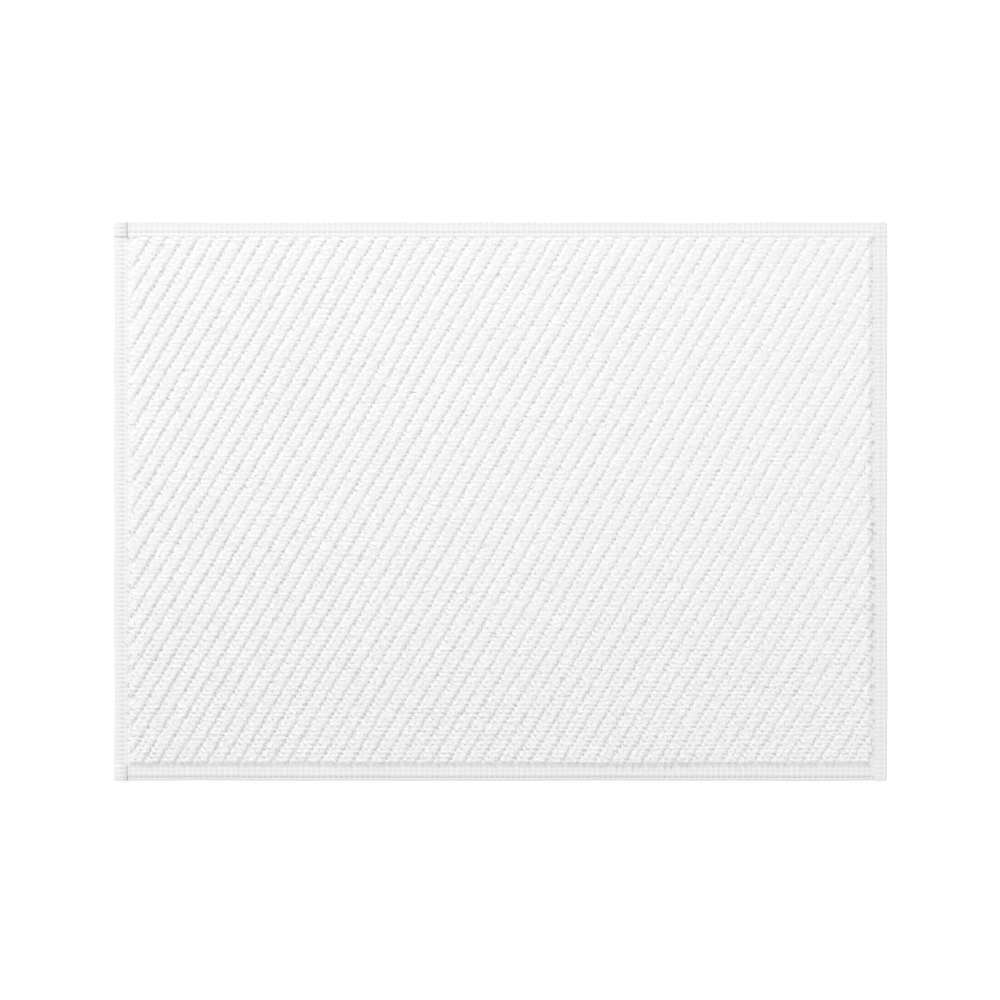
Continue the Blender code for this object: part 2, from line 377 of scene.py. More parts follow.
def run_graph(obj, tree, values):
    """Run a tree on an object and keep the result as its plain mesh."""
    modifier = obj.modifiers.new(tree.name, "NODES")
    modifier.node_group = tree
    for item in tree.interface.items_tree:
        if item.in_out == "INPUT" and item.name in values:
            modifier[item.identifier] = values[item.name]
    depsgraph = bpy.context.evaluated_depsgraph_get()
    result = bpy.data.meshes.new_from_object(
        obj.evaluated_get(depsgraph), preserve_all_data_layers=True, depsgraph=depsgraph
    )
    obj.modifiers.remove(modifier)
    result.name = obj.name
    obj.data = result
    if not len(result.polygons):
        raise RuntimeError(f"{obj.name} came out empty")
    return obj


# ---------------------------------------------------------------- pieces


def new_piece(name, vertices=(), faces=(), smooth=True):
    """A mesh object at the origin, with its place in its mesh."""
    mesh = bpy.data.meshes.new(name)
    mesh.from_pydata(vertices, [], faces)
    mesh.validate()
    if smooth:
        mesh.polygons.foreach_set("use_smooth", [True] * len(mesh.polygons))
    obj = bpy.data.objects.new(name, mesh)
    bpy.context.scene.collection.objects.link(obj)
    return obj


def turn_faces_out(obj):
    """Point every face of a closed mesh outwards."""
    shape = bmesh.new()
    shape.from_mesh(obj.data)
    bmesh.ops.recalc_face_normals(shape, faces=shape.faces)
    shape.to_mesh(obj.data)
    shape.free()


def grid_points(low, high, columns, rows):
    """Places (x, y) on a grid, row by row from its lower left corner."""
    return [
        (low.x + (high.x - low.x) * i / columns, low.y + (high.y - low.y) * j / rows)
        for j in range(rows + 1)
        for i in range(columns + 1)
    ]


def grid_faces(columns, rows):
    """The faces between a grid's points, pointing up."""
    wide = columns + 1
    starts = [j * wide + i for j in range(rows) for i in range(columns)]
    return [(a, a + 1, a + wide + 1, a + wide) for a in starts]


def turned_over(face):
    """The same face pointing the other way, from the same first corner."""
    return (face[0], *face[:0:-1])


def grid_rims(columns, rows):
    """A grid's front, right, back and left rims, each one from corner to corner."""
    wide = columns + 1
    front = list(range(wide))
    right = [j * wide + columns for j in range(rows + 1)]
    back = [rows * wide + i for i in range(columns, -1, -1)]
    left = [j * wide for j in range(rows, -1, -1)]
    return front, right, back, left


def store(obj, name, values):
    """Keep one number for each vertex."""
    layer = obj.data.attributes.new(name, "FLOAT", "POINT")
    layer.data.foreach_set("value", values)


def stand_for(obj, slot, *nodes):
    """Let a piece ride on the mat and stand for its frame nodes."""
    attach(obj, BODY)
    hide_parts(*nodes)


# ---------------------------------------------------------------- materials


def cloth_material(name, tint, roughness, sheen):
    """A cotton surface to be finished by the caller: (material, graph, shader)."""
    material = bpy.data.materials.new(name)
    material.use_nodes = True
    graph = Graph(material.node_tree)
    shader = material.node_tree.nodes["Principled BSDF"]
    shader.inputs["Base Color"].default_value = (*tint, 1)
    shader.inputs["Roughness"].default_value = roughness
    shader.inputs["Specular IOR Level"].default_value = 0.2
    shader.inputs["Sheen Weight"].default_value = sheen
    shader.inputs["Sheen Roughness"].default_value = 0.6
    return material, graph, shader


def noise_field(graph, scale, detail=2.0, stretch=(1, 1, 1)):
    """Soft random values over the piece, on its own metres."""
    place = graph.node("ShaderNodeTexCoord").outputs["Object"]
    mapped = graph.out("ShaderNodeMapping", {"Vector": place, "Scale": stretch})
    return graph.noise(mapped, scale, detail)


def tinted(graph, shader, tint, amount, factor):
    """Vary a colour's brightness by amount either way as factor goes from 0 to 1."""
    low = [max(0.0, c * (1 - amount)) for c in tint]
    high = [min(1.0, c * (1 + amount)) for c in tint]
    mix = graph.node(
        "ShaderNodeMix",
        {"A": (*low, 1), "B": (*high, 1), "Factor": factor},
        data_type="RGBA",
    )
    graph.feed(shader.inputs["Base Color"], mix.outputs["Result"])


def multiplied(graph, shader, tint, share):
    """Multiply a shader's colour by a tint as share goes from 0 to 1."""
    mix = graph.node(
        "ShaderNodeMix",
        {"A": shader.inputs["Base Color"].links[0].from_socket, "B": (*tint, 1), "Factor": share},
        data_type="RGBA",
        blend_type="MULTIPLY",
    )
    graph.feed(shader.inputs["Base Color"], mix.outputs["Result"])


def carried(graph, name):
    """A number that the piece's own mesh carries."""
    return graph.node("ShaderNodeAttribute", attribute_name=name).outputs["Fac"]


def bumped(graph, shader, heights):
    """Chain bumps onto a shader. heights is a list of (height, strength, distance)."""
    normal = None
    for height, strength, distance in heights:
        inputs = {"Height": height, "Strength": strength, "Distance": distance}
        if normal is not None:
            inputs["Normal"] = normal
        normal = graph.out("ShaderNodeBump", inputs)
    graph.feed(shader.inputs["Normal"], normal)


def twist_height(graph, turns):
    """The ply twist of a yarn, from the place along and round it that its mesh carries."""
    place = graph.node("ShaderNodeAttribute", attribute_name="yarn").outputs["Vector"]
    around_x, around_y, along = graph.split(place)
    angle = graph.times(along, turns * TURN)
    first = graph.times(graph.math("SINE", angle), around_x)
    second = graph.times(graph.math("COSINE", angle), around_y)
    return graph.math("MULTIPLY_ADD", graph.add(first, second), 0.5, 0.5)


def curl_height(graph, curl_size):
    """Rounded curls of yarn packed side by side, on the piece's own metres."""
    place = graph.node("ShaderNodeTexCoord").outputs["Object"]
    x, y, _ = graph.split(place)
    cells = {"Vector": graph.vector(x, y, 0.0), "Scale": 1 / curl_size}
    cells |= {"Randomness": CURL_CHANCE, "Smoothness": CURL_SOFTNESS}
    far = graph.node("ShaderNodeTexVoronoi", cells, feature="SMOOTH_F1").outputs["Distance"]
    return graph.math("MULTIPLY_ADD", far, -1.5, 1.0)


def pile_material(pile):
    """Soft looped cotton: packed curls with painted shade between them, ply twist, stray fibres, and a
    tone for each loop.
    """
    tint = pile.tint
    material, graph, shader = cloth_material("pile_cotton", tint, 0.95, 0.25)
    tone = carried(graph, "tone")
    curls = curl_height(graph, pile.curl_size)
    mottle = noise_field(graph, 60.0)
    light = graph.times(graph.add(tone, mottle), 0.25)
    # Painted shade: the colour is darker between the curls
    light = graph.math("MULTIPLY_ADD", curls, pile.curl_shade, light)
    tinted(graph, shader, tint, 0.09, light)
    twist = twist_height(graph, 3.0)
    fibres = noise_field(graph, 2600.0, 3.0)
    heights = [(curls, 1.0, pile.curl_height), (twist, 0.5, 0.0002), (fibres, 0.6, 0.00015)]
    bumped(graph, shader, heights)
    return material


def weave_height(graph, across, along):
    """Plain weave threads crossing, with their own pitches in metres."""
    place = graph.node("ShaderNodeTexCoord").outputs["Object"]
    x, y, _ = graph.split(place)
    warp = graph.math("SINE", graph.times(x, TURN / across))
    weft = graph.math("SINE", graph.times(y, TURN / along))
    return graph.math("MULTIPLY_ADD", graph.times(warp, weft), 0.5, 0.5)


def woven_material(name, tint, across, along, strength):
    """Flat woven cotton: crossing threads, fibres and a slow mottle."""
    material, graph, shader = cloth_material(name, tint, 0.9, 0.15)
    weave = weave_height(graph, across, along)
    mottle = noise_field(graph, 90.0, 3.0)
    tinted(graph, shader, tint, 0.05, graph.times(graph.add(weave, mottle), 0.5))
    fibres = noise_field(graph, 3000.0, 3.0)
    bumped(graph, shader, [(weave, strength, 0.0002), (fibres, 0.5, 0.0001)])
    return material


def border_material(tint):
    """The woven border: painted shade in its cord valleys, stitch holes and outer folds, warm at one
    corner and with painted shade at two.
    """
    material, graph, shader = cloth_material("border_cotton", tint, 0.9, 0.15)
    weave = weave_height(graph, 0.0009, 0.0008)
    mottle = noise_field(graph, 90.0, 3.0)
    light = graph.times(graph.add(weave, mottle), 0.5)
    # Painted shade: darker in the cord valleys, stitch holes and outer folds
    light = graph.math("MULTIPLY_ADD", carried(graph, "painted_shade"), -0.7, light)
    tinted(graph, shader, tint, 0.06, light)
    multiplied(graph, shader, WARM_COTTON, carried(graph, "patch"))
    # Painted shade at the left hem's ends, along its inner edge
    multiplied(graph, shader, PAINTED_CORNER_SHADE, carried(graph, "shade"))
    fibres = noise_field(graph, 3000.0, 3.0)
    bumped(graph, shader, [(weave, 0.45, 0.0002), (fibres, 0.5, 0.0001)])
    return material


def thread_material(tint):
    """Twisted sewing thread with a slight gloss."""
    material, graph, shader = cloth_material("sewing_thread", tint, 0.55, 0.1)
    mottle = noise_field(graph, 400.0)
    tinted(graph, shader, tint, 0.04, mottle)
    bumped(graph, shader, [(twist_height(graph, 4.0), 0.8, 0.0001)])
    return material


def label_material(tint):
    """Satin tape: fine ribs across it and a soft gloss."""
    material, graph, shader = cloth_material("label_tape", tint, 0.45, 0.05)
    weave = weave_height(graph, 0.0004, 0.00025)
    mottle = noise_field(graph, 120.0)
    tinted(graph, shader, tint, 0.03, mottle)
    bumped(graph, shader, [(weave, 0.4, 0.0001)])
    return material


# ---------------------------------------------------------------- loop pile


def add_yarn(graph, path, radius, sides):
    """A closed tube along a path, carrying where each point is along and round the yarn."""
    factor = graph.out("GeometryNodeSplineParameter")
    path = graph.keep(path, "yarn_along", factor)
    ring = graph.out("GeometryNodeCurvePrimitiveCircle", {"Resolution": sides, "Radius": radius})
    place = graph.out("GeometryNodeInputPosition")
    ring = graph.keep(ring, "yarn_round", place, "FLOAT_VECTOR")
    tube = graph.out(
        "GeometryNodeCurveToMesh", {"Curve": path, "Profile Curve": ring, "Fill Caps": True}
    )
    side = graph.out(
        "GeometryNodeInputNamedAttribute", {"Name": "yarn_round"}, data_type="FLOAT_VECTOR"
    )
    unit = graph.out("ShaderNodeVectorMath", {"Vector": side}, operation="NORMALIZE")
    x, y, _ = graph.split(unit)
    yarn = graph.vector(x, y, graph.attribute("yarn_along"))
    return graph.keep(tube, "yarn", yarn, "FLOAT_VECTOR")


def add_arch(graph, inputs, beside, splay, rise, reach, shift):
    """One yarn of a terry loop: up from the bed, over and down again."""
    height = graph.minus(inputs["Loop Height"], inputs["Yarn Radius"])
    top = graph.times(height, rise * 4 / 3)
    handle = graph.times(inputs["Loop Reach"], reach)
    foot = graph.times(handle, 0.55)
    path = graph.out(
        "GeometryNodeCurvePrimitiveBezierSegment",
        {
            "Resolution": LOOP_STEPS,
            "Start": graph.vector(graph.minus(shift, foot), beside - splay, 0.0),
            "Start Handle": graph.vector(graph.minus(shift, handle), beside - splay / 2, top),
            "End Handle": graph.vector(graph.add(handle, shift), beside + splay / 2, top),
            "End": graph.vector(graph.add(foot, shift), beside + splay, 0.0),
        },
    )
    return add_yarn(graph, path, inputs["Yarn Radius"], LOOP_SIDES)


def add_variants(graph, inputs, shapes):
    """Loop shapes as instances that a point can pick from."""
    join = graph.tree.nodes.new("GeometryNodeJoinGeometry")
    for yarns in reversed(shapes):
        both = graph.tree.nodes.new("GeometryNodeJoinGeometry")
        for yarn in yarns:
            graph.feed(both.inputs[0], add_arch(graph, inputs, *yarn))
        one = graph.out("GeometryNodeGeometryToInstance", {"Geometry": both.outputs[0]})
        graph.feed(join.inputs[0], one)
    return join.outputs[0]


def add_bow(graph, inputs):
    """How far the weave strays from straight at each point, as (x, y)."""
    place = graph.out("GeometryNodeInputPosition")
    x, y, _ = graph.split(graph.noise(place, 4.0, 1.0, "Color"))
    reach = graph.times(inputs["Drift"], 4.0)
    return [graph.times(graph.minus(value, 0.5), reach) for value in (x, y)]


def add_field_place(graph, inputs, x, y):
    """A point's share of the slope up from the hems, the height there, and its place 0 to 1."""
    low_x, low_y, _ = graph.split(inputs["Field Low"])
    high_x, high_y, _ = graph.split(inputs["Field High"])
    from_left, from_right = graph.minus(x, low_x), graph.minus(high_x, x)
    from_bottom, from_top = graph.minus(y, low_y), graph.minus(high_y, y)
    steep_bottom = graph.times(from_bottom, BOTTOM_STEEPNESS)
    steep_top = graph.times(from_top, TOP_STEEPNESS)
    inside = graph.math(
        "MINIMUM",
        graph.math("MINIMUM", from_left, from_right),
        graph.math("MINIMUM", steep_bottom, steep_top),
    )
    near_top = graph.over(steep_top, inputs["Edge Slope"])
    near_top = graph.minus(1.0, graph.math("MINIMUM", near_top, 1.0))
    edge = graph.mix(inputs["Edge Height"], inputs["Top Edge Height"], near_top)
    slope = graph.out(
        "ShaderNodeMapRange",
        {"Value": inside, "From Min": 0.0, "From Max": inputs["Edge Slope"]},
        interpolation_type="SMOOTHSTEP",
    )
    across = graph.over(from_left, graph.add(from_left, from_right))
    up = graph.over(from_bottom, graph.add(from_bottom, from_top))
    return slope, edge, across, up


def add_bed(graph, inputs):
    """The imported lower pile: ribs with steep sides, dipping between the rows of loops."""
    place = graph.out("GeometryNodeInputPosition")
    x, y, _ = graph.split(place)
    bow_x, bow_y = add_bow(graph, inputs)
    slope, edge, across, up = add_field_place(graph, inputs, x, y)
    row = graph.minus(graph.minus(y, bow_y), inputs["Bottom"])
    row = graph.over(row, inputs["Row Pitch"])
    column = graph.minus(graph.minus(x, bow_x), inputs["Left"])
    column = graph.over(column, inputs["Column Pitch"])
    column = graph.math("MULTIPLY_ADD", row, -0.5, graph.add(column, 0.25))
    middle = graph.times(graph.add(inputs["Raised Columns"], inputs["Columns per Rib"], -1.0), 0.5)
    rib = graph.over(graph.minus(column, middle), inputs["Columns per Rib"])
    away = graph.minus(graph.math("FRACT", graph.add(rib, 0.5)), 0.5)
    leaning = graph.times(graph.math("LESS_THAN", away, 0.0), across)
    flank = graph.mix(inputs["Flank Share"], inputs["Lean Share"], leaning)
    away = graph.math("ABSOLUTE", away)
    rough = graph.minus(graph.noise(place, 420.0, 2.0), 0.5)
    away = graph.math("MULTIPLY_ADD", rough, inputs["Groove Stray"], away)
    wall = graph.out(
        "ShaderNodeMapRange",
        {"Value": away, "From Min": inputs["Groove Share"], "From Max": flank},
        interpolation_type="SMOOTHSTEP",
    )
    groove = graph.mix(inputs["Groove Left"], inputs["Groove Right"], across)
    height = graph.mix(groove, inputs["Bed Height"], wall)
    settled = graph.times(up, graph.minus(2.0, up))
    dip = graph.mix(inputs["Dip Bottom"], inputs["Dip Top"], settled)
    crossing = graph.math("ADD", column, graph.add(row, -0.5))
    between = graph.minus(1.0, graph.ridges(crossing, 1.0))
    hollow = graph.math("MULTIPLY_ADD", between, inputs["Crossing Dip"], graph.ridges(row, 1.0))
    height = graph.minus(height, graph.times(hollow, dip))
    height = graph.math("MULTIPLY_ADD", rough, inputs["Bed Rough"], height)
    height = graph.mix(edge, height, slope)
    height = graph.times(height, graph.attribute("top"))
    shaped = graph.out(
        "GeometryNodeSetPosition", {"Geometry": inputs["Geometry"], "Offset": graph.vector(z=height)}
    )
    # Painted shade: the bed's tone follows the noise that raises it, so it is darker where the bed lies
    # lower
    return graph.keep(shaped, "tone", graph.add(rough, 0.5))


def add_loop_points(graph, inputs):
    """Points of the staggered weave that carry tall loops, and each one's own number."""
    index = graph.out("GeometryNodeInputIndex")
    columns = inputs["Columns"]
    column = graph.math("FLOORED_MODULO", index, columns)
    row = graph.add(graph.math("FLOOR", graph.over(index, columns)), inputs["First Row"])
    odd = graph.math("FLOORED_MODULO", row, 2.0)
    step = graph.math("MULTIPLY_ADD", odd, 0.5, column)
    warp = graph.minus(column, graph.math("FLOOR", graph.times(row, 0.5)))
    place = graph.math("FLOORED_MODULO", warp, inputs["Columns per Rib"])
    low = graph.math("GREATER_THAN", place, graph.add(inputs["Raised Columns"], -0.5))
    lean = graph.minus(graph.times(graph.add(inputs["Raised Columns"], -1.0), 0.5), place)
    lean = graph.times(lean, inputs["Loop Splay"], -2.0)
    x = graph.math("MULTIPLY_ADD", step, inputs["Column Pitch"], graph.add(inputs["Left"], lean))
    y = graph.math("MULTIPLY_ADD", graph.add(row, 0.5), inputs["Row Pitch"], inputs["Bottom"])
    slope, edge, _, up = add_field_place(graph, inputs, x, y)
    sink = graph.minus(inputs["Bed Height"], edge)
    sink = graph.times(sink, graph.minus(1.0, slope))
    sink = graph.math("MULTIPLY_ADD", up, inputs["Matting"], sink)
    z = graph.minus(inputs["Loop Base"], sink)
    points = graph.out(
        "GeometryNodePoints",
        {"Count": graph.times(columns, inputs["Rows"]), "Position": graph.vector(x, y, z)},
    )
    points = graph.keep(points, "mark", graph.add(index, graph.times(inputs["First Row"], columns)))
    points = graph.keep(points, "up", up)
    outside = graph.math("LESS_THAN", slope, LOOP_SLOPE)
    points = graph.keep(points, "spare", graph.math("MAXIMUM", low, outside))
    spare = graph.attribute("spare")
    return graph.out(
        "GeometryNodeDeleteGeometry", {"Geometry": points, "Selection": spare}, domain="POINT"
    )


# The tree's inputs that take a pile setting as it is, then those worked out from the settings
PILE_SETTINGS = (
    *("Column Pitch", "Row Pitch", "Drift", "Jitter", "Yarn Radius", "Loop Reach", "Loop Splay"),
    *("Loop Turn", "Matting", "Bed Height", "Bed Rough", "Edge Height", "Top Edge Height"),
    *("Edge Slope", "Groove Left", "Groove Right", "Dip Top", "Dip Bottom", "Crossing Dip"),
)
PILE_SIZES = (
    *("Left", "Bottom", "Loop Base", "Loop Height"),
    *("Groove Share", "Groove Stray", "Flank Share", "Lean Share"),
)
PILE_COUNTS = ("Columns", "Rows", "First Row", "Columns per Rib", "Raised Columns", "Seed")


def pile_tree():
    """Diagonal ribs of packed pile, with a staggered loop standing out at each raised place."""
    sockets = {title: "Float" for title in PILE_SETTINGS + PILE_SIZES}
    sockets |= {title: "Int" for title in PILE_COUNTS}
    sockets |= {"Field Low": "Vector", "Field High": "Vector", "Material": "Material"}
    graph, inputs = geometry_graph("terry_pile", sockets)
    points = add_loop_points(graph, inputs)
    mark = graph.attribute("mark")

    def draw(low, high, step, kind="FLOAT_VECTOR"):
        """A random value that belongs to the loop's place in the whole weave."""
        return graph.out(
            "FunctionNodeRandomValue",
            {"Min": low, "Max": high, "ID": mark, "Seed": graph.add(inputs["Seed"], step)},
            data_type=kind,
        )

    bow_x, bow_y = add_bow(graph, inputs)
    stray_x, stray_y, _ = graph.split(draw((-1.0, -1.0, 0.0), (1.0, 1.0, 0.0), 1))
    offset = graph.vector(
        graph.math("MULTIPLY_ADD", stray_x, inputs["Jitter"], bow_x),
        graph.math("MULTIPLY_ADD", stray_y, inputs["Jitter"], bow_y),
    )
    points = graph.out("GeometryNodeSetPosition", {"Geometry": points, "Offset": offset})
    tip_x, tip_y, turn = graph.split(draw([-angle for angle in LOOP_TIP], LOOP_TIP, 3))
    settled = graph.mix(LOOP_TURN_BOTTOM, 1.0, graph.attribute("up"))
    loops = graph.out(
        "GeometryNodeInstanceOnPoints",
        {
            "Points": points,
            "Instance": add_variants(graph, inputs, LOOP_SHAPES),
            "Pick Instance": True,
            "Instance Index": draw(0, len(LOOP_SHAPES) - 1, 2, "INT"),
            "Rotation": graph.vector(
                tip_x, tip_y, graph.math("MULTIPLY_ADD", turn, settled, inputs["Loop Turn"])
            ),
            "Scale": draw(*LOOP_SCALE, 4),
        },
    )
    tone = graph.random(0.0, 1.0, inputs["Seed"])
    loops = graph.keep(loops, "tone", tone, domain="INSTANCE")
    join = graph.tree.nodes.new("GeometryNodeJoinGeometry")
    graph.feed(join.inputs[0], loops)
    graph.feed(join.inputs[0], add_bed(graph, inputs))
    close_graph(graph, join.outputs[0], inputs["Material"])
    return graph.tree


def slab(name, low, high, z, undercut):
    """A closed slab with no height yet: a fine grid on top of a smaller flat foot."""
    columns, rows = (round((high[k] - low[k]) / BED_STEP[k]) for k in (0, 1))
    points = [(*spot, z) for spot in grid_points(low, high, columns, rows)]
    faces = grid_faces(columns, rows)
    corner = len(points)
    foot = z - BED_FOOT
    left, right, near, far = low.x + undercut, high.x - undercut, low.y + undercut, high.y - undercut
    points += [(left, near, foot), (right, near, foot), (right, far, foot), (left, far, foot)]
    rims = grid_rims(columns, rows)
    for side, rim in enumerate(rims):
        faces.append((*reversed(rim), corner + side, corner + (side + 1) % 4))
    faces.append(tuple(corner + side for side in (3, 2, 1, 0)))
    obj = new_piece(name, points, faces)
    store(obj, "top", [1.0] * corner + [0.0] * 4)
    rim_edges = {frozenset(pair) for rim in rims for pair in zip(rim, rim[1:])}
    for edge in obj.data.edges:
        a, b = edge.vertices
        edge.use_edge_sharp = a >= corner or b >= corner or frozenset((a, b)) in rim_edges
    return obj


class BATHMAT_OT_pile(bpy.types.Operator):
    """Weave the terry loops in diagonal ribs, in bands from the bottom of the mat to the top"""

    bl_idname = "bath_mat.pile"
    bl_label = "Loop Pile"

    def execute(self, context):
        pile = context.scene.bath_mat_pile
        material = pile_material(pile)
        tree = pile_tree()
        over = Vector((pile.overhang, pile.overhang, 0))
        low, high = FIELD_LOW - over, FIELD_HIGH + over
        field = high - low
        rows = math.ceil(field.y / pile.row_pitch / 2) * 2 + 2
        bottom = -rows / 2 * pile.row_pitch + pile.row_shift
        # A rib's middle passes through the origin, plus rib_shift
        origin_row = -bottom / pile.row_pitch - 0.5
        half = (pile.raised_columns - 1) / 2 + origin_row / 2
        ribs = math.ceil((field.x / 2 / pile.column_pitch - half) / pile.columns_per_rib) + 1
        left = pile.rib_shift - pile.column_pitch * (half + ribs * pile.columns_per_rib)
        columns = math.ceil((high.x - left) / pile.column_pitch)
        rib = pile.columns_per_rib * pile.column_pitch
        base = GROUND_HIGH.z + pile.bed_height * LOOP_BASE_SHARE
        values = {title: getattr(pile, title.lower().replace(" ", "_")) for title in PILE_SETTINGS}
        values |= {
            "Left": left,
            "Bottom": bottom,
            "Loop Base": base,
            "Loop Height": GROUND_HIGH.z + pile.bed_height + pile.stand - base,
            "Groove Share": pile.groove_width / 2 / rib,
            "Flank Share": (pile.groove_width / 2 + pile.flank_width) / rib,
            "Lean Share": (pile.groove_width / 2 + pile.lean_width) / rib,
            "Groove Stray": pile.groove_stray / rib,
            "Field Low": low,
            "Field High": high,
            "Columns": columns,
            "Columns per Rib": pile.columns_per_rib,
            "Raised Columns": pile.raised_columns,
            "Seed": pile.seed,
            "Material": material,
        }
        for band in range(pile.bands):
            start, end = (low.y + field.y * step / pile.bands for step in (band, band + 1))
            first = math.ceil((start - bottom) / pile.row_pitch - 0.5)
            last = math.ceil((end - bottom) / pile.row_pitch - 0.5)
            corners = Vector((low.x, start)), Vector((high.x, end))
            foot = GROUND_HIGH.z + 2 * BED_FOOT
            piece = slab(f"pile_band_{band + 1}", *corners, foot, pile.overhang * 4)
            run_graph(piece, tree, values | {"First Row": first, "Rows": last - first})
            stand_for(piece, "loop_pile", "loop_pile")
        return {"FINISHED"}


# ---------------------------------------------------------------- ground cloth


def relief_tree():
    """Bumps of the weave on the cloth's underside, staggered like the loops above them."""
    sockets = {title: "Float" for title in ("Column Pitch", "Row Pitch", "Relief")}
    graph, inputs = geometry_graph("ground_weave_relief", sockets | {"Material": "Material"})
    x, y, _ = graph.split(graph.out("GeometryNodeInputPosition"))
    half = graph.times(inputs["Column Pitch"], 0.5)
    slant = graph.over(graph.times(y, half), inputs["Row Pitch"])
    across = graph.ridges(graph.minus(x, slant), inputs["Column Pitch"])
    back = graph.ridges(graph.add(x, slant), inputs["Column Pitch"])
    height = graph.times(
        graph.minus(1.0, graph.times(across, back)),
        inputs["Relief"],
        graph.attribute("underside"),
    )
    shaped = graph.out(
        "GeometryNodeSetPosition", {"Geometry": inputs["Geometry"], "Offset": graph.vector(z=height)}
    )
    close_graph(graph, shaped, inputs["Material"])
    return graph.tree


def ease(share):
    """A smooth step from 0 to 1."""
    share = min(1.0, max(0.0, share))
    return share * share * (3 - 2 * share)


def label_dent(x, y, depth):
    """How far the cloth rises over the label."""
    inside = min(x - LABEL_LOW.x, LABEL_HIGH.x - x, y - LABEL_LOW.y, LABEL_HIGH.y - y)
    return depth * ease(1 + inside / LABEL_EASE)


def ground_shell(pile, depth):
    """The woven base as a closed shell with a fine underside and thin edges in the hems."""
    low, high = FIELD_LOW, FIELD_HIGH
    columns = 2 * round((high.x - low.x) / pile.column_pitch)
    rows = 2 * round((high.y - low.y) / pile.row_pitch)
    rims = grid_rims(columns, rows)
    outer = set().union(*rims)
    places = grid_points(low, high, columns, rows)
    shares = [0.0 if k in outer else 1.0 for k in range(len(places))]
    points = [(*at, label_dent(*at, depth) if share else 0.0) for at, share in zip(places, shares)]
    faces = [turned_over(face) for face in grid_faces(columns, rows)]
    corner = len(points)
    edge_z, top_z = GROUND_HIGH.z - EDGE_THICKNESS, GROUND_HIGH.z
    for near, far, z in (
        (low, high, edge_z),
        (GROUND_LOW, GROUND_HIGH, edge_z),
        (GROUND_LOW, GROUND_HIGH, top_z),
    ):
        points += [(near.x, near.y, z), (far.x, near.y, z), (far.x, far.y, z), (near.x, far.y, z)]
    shares += [0.0] * (len(points) - corner)
    for side, rim in enumerate(rims):
        after = (side + 1) % 4
        faces.append((*rim, corner + after, corner + side))
        for ring in (0, 4):
            a, b = corner + ring + side, corner + ring + after
            faces.append((a, b, b + 4, a + 4))
    faces.append(tuple(corner + 8 + side for side in range(4)))
    shell = new_piece("ground_weave", points, faces)
    store(shell, "underside", shares)
    turn_faces_out(shell)
    return shell


class BATHMAT_OT_ground(bpy.types.Operator):
    """Weave the ground cloth that carries the loops"""

    bl_idname = "bath_mat.ground"
    bl_label = "Ground Cloth"

    def execute(self, context):
        ground, pile = context.scene.bath_mat_ground, context.scene.bath_mat_pile
        shell = ground_shell(pile, ground.label_hollow)
        material = woven_material("ground_cotton", ground.tint, 0.0012, 0.0010, 0.5)
        values = {
            "Column Pitch": pile.column_pitch,
            "Row Pitch": pile.row_pitch,
            "Relief": ground.relief,
            "Material": material,
        }
        run_graph(shell, relief_tree(), values)
        stand_for(shell, "ground_weave", "ground_cloth")
        return {"FINISHED"}


# ---------------------------------------------------------------- hems


# What shows across each hem, from the outer fold inwards. Lines: (place, height, width) of
# beads and grooves along the hem. Cords: (place, width, depth) of the ladder across it.
# Edge: how much painted shade lies along the outer fold, most on the right and bottom hems that turn away
# from the light
HEM_LOOKS = {
    "left": {
        "lines": ((0.0034, -0.00012, 0.0016), (0.0052, 0.00020, 0.0012), (0.0121, 0.00035, 0.0013)),
        "cords": (0.0078, 0.0036, 0.00042),
        "seam": (0.00022, 0.00030),
        "edge": 0.0,
        "rise": 1.0,
    },
    "right": {
        "lines": ((0.0, -0.0006, 0.0016), (0.0078, 0.00025, 0.0014), (0.0122, 0.0003, 0.0014)),
        "cords": (0.0075, 0.0075, 0.00025),
        "seam": (0.00030, 0.00010),
        "edge": 1.0,
        "rise": 0.25,
    },
    "top": {
        "lines": ((0.0082, 0.00010, 0.0014), (0.0127, 0.00030, 0.0012), (0.0007, -0.0001, 0.0010)),
        "cords": (0.0030, 0.0026, 0.00085),
        "seam": (0.00025, 0.00070),
        "edge": 0.3,
        "rise": 0.0,
    },
    "bottom": {
        "lines": ((0.0, -0.0008, 0.0026), (0.0062, 0.00028, 0.0011), (0.0100, 0.00030, 0.0012)),
        "cords": (0.0090, 0.0050, 0.00034),
        "seam": (0.00045, 0.00070),
        "edge": 1.0,
        "rise": 0.0,
    },
}


class HemPlace:
    """Where one hem lies: its edge, which way is inwards, and its run along the edge."""

    def __init__(self, side):
        self.node = side + "_hem"
        self.side = side
        low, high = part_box(self.node)
        seam_low, seam_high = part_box(self.node + "_needle_thread")
        self.thickness = high.z
        self.is_side = side in ("left", "right")
        axis = 0 if self.is_side else 1
        self.sign = -1 if side in ("left", "bottom") else 1
        self.edge = low[axis] if self.sign < 0 else high[axis]
        self.width = high[axis] - low[axis]
        self.start, self.end = low[1 - axis], high[1 - axis]
        if not self.is_side:
            self.start -= HEM_REACH
            self.end += HEM_REACH
        self.seam = abs(self.edge - (seam_low[axis] + seam_high[axis]) / 2)
        self.seam_start, self.seam_end = seam_low[1 - axis], seam_high[1 - axis]

    def point(self, along, inwards, z):
        """A place in the mat's frame."""
        across = self.edge - self.sign * inwards
        return (across, along, z) if self.is_side else (along, across, z)


